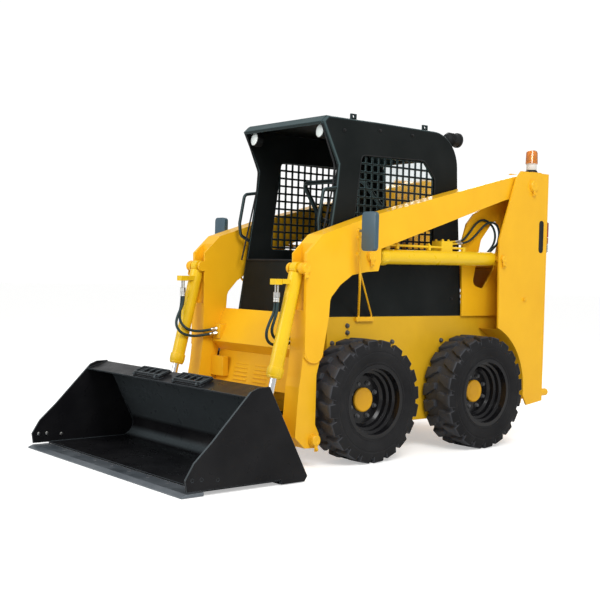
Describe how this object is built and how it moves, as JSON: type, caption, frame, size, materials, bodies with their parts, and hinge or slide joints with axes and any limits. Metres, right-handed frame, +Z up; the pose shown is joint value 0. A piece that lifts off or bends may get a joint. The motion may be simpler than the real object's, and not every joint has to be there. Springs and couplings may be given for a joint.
{
  "type": "skid steer loader",
  "caption": "Compact skid steer loader with radial lift arms, general purpose bucket, open mesh-sided cab, deep-lugged tyres and amber beacon.",
  "frame": {"origin": "on the ground, under the middle of the whole machine, bucket included", "axes": "+Z up, -Y towards the bucket, +X to the machine's left"},
  "size_m": [1.796, 3.377, 2.2],
  "materials": {
    "tyre_rubber": "matt moulded rubber",
    "rim_black": "semi-gloss black",
    "hub_yellow": "ochre, satin",
    "cab_black": "satin black",
    "yellow_paint": "gloss machine yellow",
    "chrome_rod": "polished hard chrome",
    "edge_steel": "blued steel",
    "bucket_black": "satin black",
    "axle_steel": "painted casting",
    "engine_iron": "painted casting",
    "seat_vinyl": "black vinyl",
    "lever_black": "black grips on steel levers",
    "mirror_shell": "dark blue-grey",
    "amber_lens": "amber lens",
    "red_lens": "red lens",
    "fitting_steel": "bright zinc plate",
    "hose_rubber": "wire-braided rubber hose"
  },
  "bodies": {
    "chassis": {"axles": "axle_steel", "beacon": "amber_lens", "cab_floor": "cab_black", "cab_front_panel": "cab_black", "cab_rear": "cab_black", "cab_roof": "cab_black", "cab_side_left": "cab_black", "cab_side_right": "cab_black", "control_levers": "lever_black", "engine": "engine_iron", "grab_handles": "cab_black", "mirrors": "mirror_shell", "rear_bumper": "yellow_paint", "seat": "seat_vinyl", "seat_base": "cab_black", "side_grilles": "cab_black", "tail_lamps": "red_lens", "tower_left": "yellow_paint", "tower_right": "yellow_paint", "tub": "yellow_paint", "work_lights": "cab_black"},
    "arms": {"arm_left": "yellow_paint", "arm_right": "yellow_paint", "cross_member": "yellow_paint", "hose_fittings": "fitting_steel", "tilt_hose_inner_left": "hose_rubber", "tilt_hose_inner_right": "hose_rubber", "tilt_hose_outer_left": "hose_rubber", "tilt_hose_outer_right": "hose_rubber"},
    "bucket": {"bucket_shell": "bucket_black", "coupler": "yellow_paint", "cutting_edge": "edge_steel"},
    "hood": {"hood": "yellow_paint"},
    "wheel_front_left": {"hub_cap_front_left": "hub_yellow", "rim_front_left": "rim_black", "tyre_front_left": "tyre_rubber"},
    "wheel_front_right": {"hub_cap_front_right": "hub_yellow", "rim_front_right": "rim_black", "tyre_front_right": "tyre_rubber"},
    "wheel_rear_left": {"hub_cap_rear_left": "hub_yellow", "rim_rear_left": "rim_black", "tyre_rear_left": "tyre_rubber"},
    "wheel_rear_right": {"hub_cap_rear_right": "hub_yellow", "rim_rear_right": "rim_black", "tyre_rear_right": "tyre_rubber"},
    "lift_barrel_left": {"lift_barrel_left": "yellow_paint", "lift_hose_lower_left": "hose_rubber", "lift_hose_upper_left": "hose_rubber"},
    "lift_barrel_right": {"lift_barrel_right": "yellow_paint", "lift_hose_lower_right": "hose_rubber", "lift_hose_upper_right": "hose_rubber"},
    "lift_rod_left": {"lift_rod_left": "chrome_rod"},
    "lift_rod_right": {"lift_rod_right": "chrome_rod"},
    "seat_bar": {"seat_bar": "cab_black"},
    "tail_door": {"tail_door": "yellow_paint"},
    "tilt_barrel_left": {"tilt_barrel_left": "yellow_paint"},
    "tilt_barrel_right": {"tilt_barrel_right": "yellow_paint"},
    "tilt_rod_left": {"tilt_rod_left": "chrome_rod"},
    "tilt_rod_right": {"tilt_rod_right": "chrome_rod"}
  },
  "joints": [
    {"name": "wheel_front_left_spin", "type": "hinge", "parent": "chassis", "child": "wheel_front_left", "pos_m": [0.573, -0.132, 0.38544], "axis": [1, 0, 0], "continuous": true},
    {"name": "wheel_front_right_spin", "type": "hinge", "parent": "chassis", "child": "wheel_front_right", "pos_m": [-0.573, -0.132, 0.38544], "axis": [1, 0, 0], "continuous": true},
    {"name": "wheel_rear_left_spin", "type": "hinge", "parent": "chassis", "child": "wheel_rear_left", "pos_m": [0.573, 0.917, 0.38544], "axis": [1, 0, 0], "continuous": true},
    {"name": "wheel_rear_right_spin", "type": "hinge", "parent": "chassis", "child": "wheel_rear_right", "pos_m": [-0.573, 0.917, 0.38544], "axis": [1, 0, 0], "continuous": true},
    {"name": "lift", "type": "hinge", "parent": "chassis", "child": "arms", "pos_m": [0, 1.4325, 1.84], "axis": [-1, 0, 0], "range_deg": [0, 60]},
    {"name": "bucket_tilt", "type": "hinge", "parent": "arms", "child": "bucket", "pos_m": [0, -0.5525, 0.168], "axis": [1, 0, 0], "range_deg": [-28, 100]},
    {"name": "lift_barrel_left_swing", "type": "hinge", "parent": "chassis", "child": "lift_barrel_left", "pos_m": [0.54, 1.1225, 1.305], "axis": [-1, 0, 0], "range_deg": [0, 61]},
    {"name": "lift_rod_left_slide", "type": "slide", "parent": "lift_barrel_left", "child": "lift_rod_left", "axis": [0, -0.9999, -0.0136], "range_m": [0, 0.62]},
    {"name": "tilt_barrel_left_swing", "type": "hinge", "parent": "arms", "child": "tilt_barrel_left", "pos_m": [0.527, -0.6595, 1.2], "axis": [1, 0, 0], "range_deg": [-2, 7]},
    {"name": "tilt_rod_left_slide", "type": "slide", "parent": "tilt_barrel_left", "child": "tilt_rod_left", "axis": [0, -0.2311, -0.9729], "range_m": [-0.146, 0.515]},
    {"name": "lift_barrel_right_swing", "type": "hinge", "parent": "chassis", "child": "lift_barrel_right", "pos_m": [-0.54, 1.1225, 1.305], "axis": [-1, 0, 0], "range_deg": [0, 61]},
    {"name": "lift_rod_right_slide", "type": "slide", "parent": "lift_barrel_right", "child": "lift_rod_right", "axis": [0, -0.9999, -0.0136], "range_m": [0, 0.62]},
    {"name": "tilt_barrel_right_swing", "type": "hinge", "parent": "arms", "child": "tilt_barrel_right", "pos_m": [-0.527, -0.6595, 1.2], "axis": [1, 0, 0], "range_deg": [-2, 7]},
    {"name": "tilt_rod_right_slide", "type": "slide", "parent": "tilt_barrel_right", "child": "tilt_rod_right", "axis": [0, -0.2311, -0.9729], "range_m": [-0.146, 0.515]},
    {"name": "tail_door_hinge", "type": "hinge", "parent": "chassis", "child": "tail_door", "pos_m": [-0.432, 1.6165, 0.885], "axis": [0, 0, 1], "range_deg": [0, 100]},
    {"name": "hood_hinge", "type": "hinge", "parent": "chassis", "child": "hood", "pos_m": [0, 0.9685, 1.342], "axis": [1, 0, 0], "range_deg": [0, 55]},
    {"name": "seat_bar_hinge", "type": "hinge", "parent": "chassis", "child": "seat_bar", "pos_m": [0, 0.6425, 1.5], "axis": [1, 0, 0], "range_deg": [0, 68]}
  ],
  "couplings": [
    {"joint": "lift_barrel_left_swing", "follows": "lift", "ratio": 1},
    {"joint": "lift_rod_left_slide", "follows": "lift", "m_per_rad": 0.58633},
    {"joint": "tilt_barrel_left_swing", "follows": "bucket_tilt", "ratio": 0.065},
    {"joint": "tilt_rod_left_slide", "follows": "bucket_tilt", "m_per_rad": 0.29221},
    {"joint": "lift_barrel_right_swing", "follows": "lift", "ratio": 1},
    {"joint": "lift_rod_right_slide", "follows": "lift", "m_per_rad": 0.58633},
    {"joint": "tilt_barrel_right_swing", "follows": "bucket_tilt", "ratio": 0.065},
    {"joint": "tilt_rod_right_slide", "follows": "bucket_tilt", "m_per_rad": 0.29221}
  ]
}
